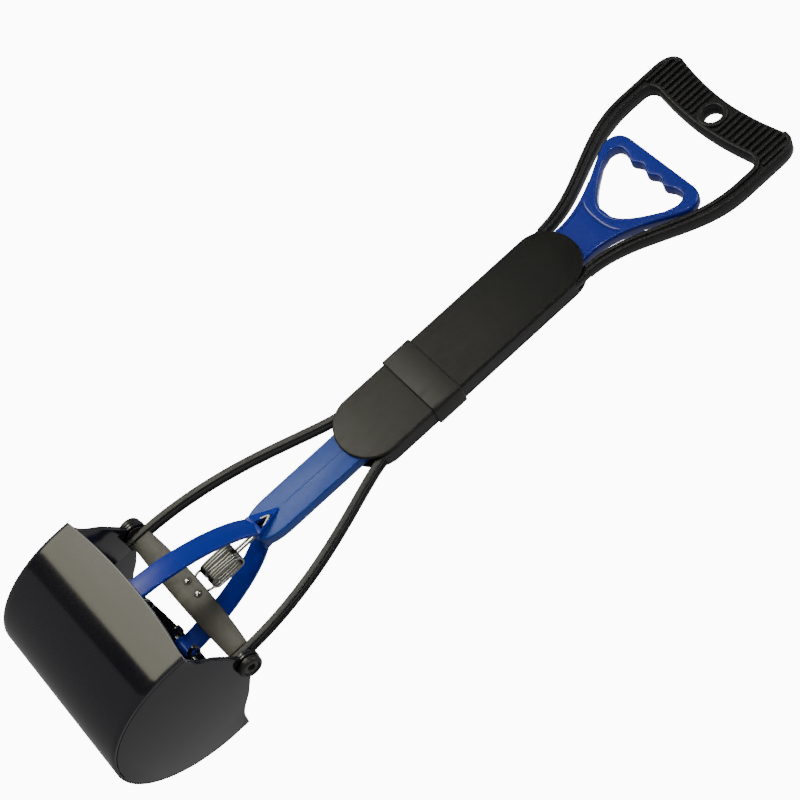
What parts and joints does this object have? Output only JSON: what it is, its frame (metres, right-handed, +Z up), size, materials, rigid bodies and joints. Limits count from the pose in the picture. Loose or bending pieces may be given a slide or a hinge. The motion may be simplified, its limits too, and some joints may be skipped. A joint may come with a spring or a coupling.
{
  "type": "pooper scooper",
  "caption": "Folding jaw pooper scooper with ribbed black grip, blue pull handle and rod, locking collar, curved legs and spring-closed scoop shells.",
  "frame": {"origin": "centre of the hang hole in the grip bar, midway through the bar", "axes": "+Z up the handle, +X along the grip bar and the jaw pivots, -Y towards the front where the smooth covers are"},
  "size_m": [0.148, 0.108, 0.599],
  "materials": {
    "black_plastic": "satin charcoal moulded plastic",
    "blue_plastic": "glossy blue nylon",
    "shell_plastic": "glossy dark grey moulded plastic",
    "black_steel": "black coated steel",
    "bright_steel": "drawn spring steel"
  },
  "bodies": {
    "upper_frame": {"upper_frame": "black_plastic", "upper_cover": "black_plastic", "fold_pin_left": "bright_steel", "fold_pin_right": "bright_steel", "upper_cover_screw_low_left": "black_steel", "upper_cover_screw_low_right": "black_steel", "upper_cover_screw_high_left": "black_steel", "upper_cover_screw_high_right": "black_steel"},
    "upper_rod": {"pull_handle": "blue_plastic", "rod_pin": "bright_steel"},
    "collar": {"lock_collar": "black_plastic"},
    "lower_frame": {"lower_frame": "black_plastic", "lower_cover": "black_plastic", "lower_cover_screw_left": "black_steel", "lower_cover_screw_right": "black_steel", "cross_plate": "black_steel", "pivot_bolt_left": "black_steel", "pivot_bolt_right": "black_steel", "pivot_washer_left": "black_steel", "pivot_washer_right": "black_steel", "return_spring": "bright_steel"},
    "lower_rod": {"lower_rod": "blue_plastic", "front_arm": "blue_plastic", "rear_arm": "blue_plastic", "front_arm_pin": "bright_steel", "rear_arm_pin": "bright_steel"},
    "jaw_front": {"front_shell": "shell_plastic"},
    "jaw_rear": {"rear_shell": "shell_plastic"}
  },
  "joints": [
    {"name": "pull", "type": "slide", "parent": "upper_frame", "child": "upper_rod", "axis": [0, 0, 1], "range_m": [0, 0.03], "stiffness_N_per_m": 400, "springref_m": -0.0125},
    {"name": "fold", "type": "hinge", "parent": "upper_frame", "child": "lower_frame", "pos_m": [0, 0.005, -0.2668], "axis": [1, 0, 0], "range_deg": [0, 155]},
    {"name": "collar_slide", "type": "slide", "parent": "upper_frame", "child": "collar", "axis": [0, 0, 1], "range_m": [0, 0.1]},
    {"name": "rod_follow", "type": "slide", "parent": "lower_frame", "child": "lower_rod", "axis": [0, 0, 1], "range_m": [0, 0.03], "deforming": ["return_spring"]},
    {"name": "front_jaw", "type": "hinge", "parent": "lower_frame", "child": "jaw_front", "pos_m": [0, 0, -0.4728], "axis": [1, 0, 0], "range_deg": [-35, 0]},
    {"name": "rear_jaw", "type": "hinge", "parent": "lower_frame", "child": "jaw_rear", "pos_m": [0, 0, -0.4728], "axis": [1, 0, 0], "range_deg": [0, 35]}
  ],
  "couplings": [
    {"joint": "rod_follow", "follows": "pull", "ratio": 1},
    {"joint": "front_jaw", "follows": "pull", "rad_per_m": -20.3},
    {"joint": "rear_jaw", "follows": "pull", "rad_per_m": 20.3},
    {"joint": "collar_slide", "follows": "fold", "m_per_rad": 0.03696}
  ]
}
